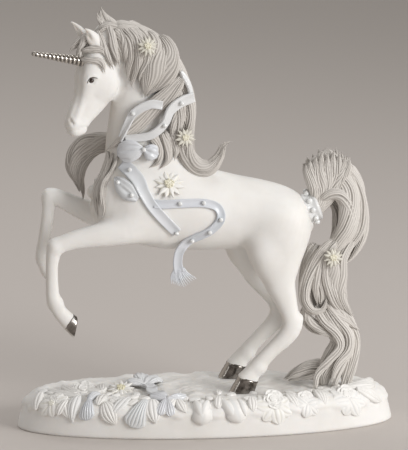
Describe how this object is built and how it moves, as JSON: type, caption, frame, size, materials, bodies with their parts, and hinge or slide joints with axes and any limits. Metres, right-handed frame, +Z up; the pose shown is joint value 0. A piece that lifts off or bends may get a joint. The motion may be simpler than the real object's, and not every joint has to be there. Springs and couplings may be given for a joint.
{
  "type": "unicorn figurine",
  "caption": "Rearing porcelain unicorn with flowing mane and tail, ribbons and blossoms, standing on an oval plinth; a shelf ornament that rests on its flat base.",
  "frame": {"origin": "middle of the plinth's flat underside", "axes": "+Z up, +Y across the animal away from the shown side, -X the way that the animal faces"},
  "size_m": [0.19, 0.0702, 0.2149],
  "materials": {
    "bisque": "matt white bisque porcelain",
    "hair": "matt grey bisque porcelain",
    "platinum_lustre": "bright platinum lustre over glaze",
    "ribbon": "pale blue satin glaze",
    "pearl": "pearl lustre glaze",
    "blossom": "matt cream bisque porcelain",
    "blossom_centre": "matt yellow bisque porcelain"
  },
  "bodies": {
    "root": {"arched_lock": "hair", "base_blossom_centres": "blossom_centre", "base_blossoms": "blossom", "base_leaves": "bisque", "base_plinth": "bisque", "base_ribbon": "ribbon", "base_shells": "bisque", "blossom_centres": "blossom_centre", "broad_lock": "hair", "cheek_lock": "hair", "crest_blossom": "blossom", "crest_mane": "hair", "far_arched_lock": "hair", "far_broad_lock": "hair", "far_ear": "bisque", "far_fore_hoof": "platinum_lustre", "far_foreleg": "bisque", "far_hind_hoof": "platinum_lustre", "far_hind_leg": "bisque", "far_mane_lock": "hair", "far_shoulder_lock": "hair", "forelock": "hair", "head": "bisque", "hooked_lock": "hair", "horn": "platinum_lustre", "mane_blossom": "blossom", "near_ear": "bisque", "near_fore_hoof": "platinum_lustre", "near_foreleg": "bisque", "near_hind_hoof": "platinum_lustre", "near_hind_leg": "bisque", "neck": "bisque", "poll_flick": "hair", "rear_lock": "hair", "ribbon_band": "ribbon", "ribbon_bow_lower": "ribbon", "ribbon_bow_upper": "ribbon", "ribbon_loop": "ribbon", "ribbon_pearls": "pearl", "ribbon_streamer": "ribbon", "ribbon_tassel": "ribbon", "ribbon_upper": "ribbon", "ribbon_wrap": "ribbon", "shoulder_blossom": "blossom", "shoulder_lock": "hair", "tail_blossom": "blossom", "tail_curl": "hair", "tail_fall": "hair", "tail_fold": "hair", "tail_ground_curl": "hair", "tail_knot": "hair", "tail_middle": "hair", "tail_outer_lobe": "hair", "tail_ring": "ribbon", "tail_ring_pearls": "pearl", "tail_spray": "hair", "throat_lock": "hair", "trunk": "bisque", "under_bow_lock": "hair", "wither_lock": "hair"}
  },
  "joints": []
}
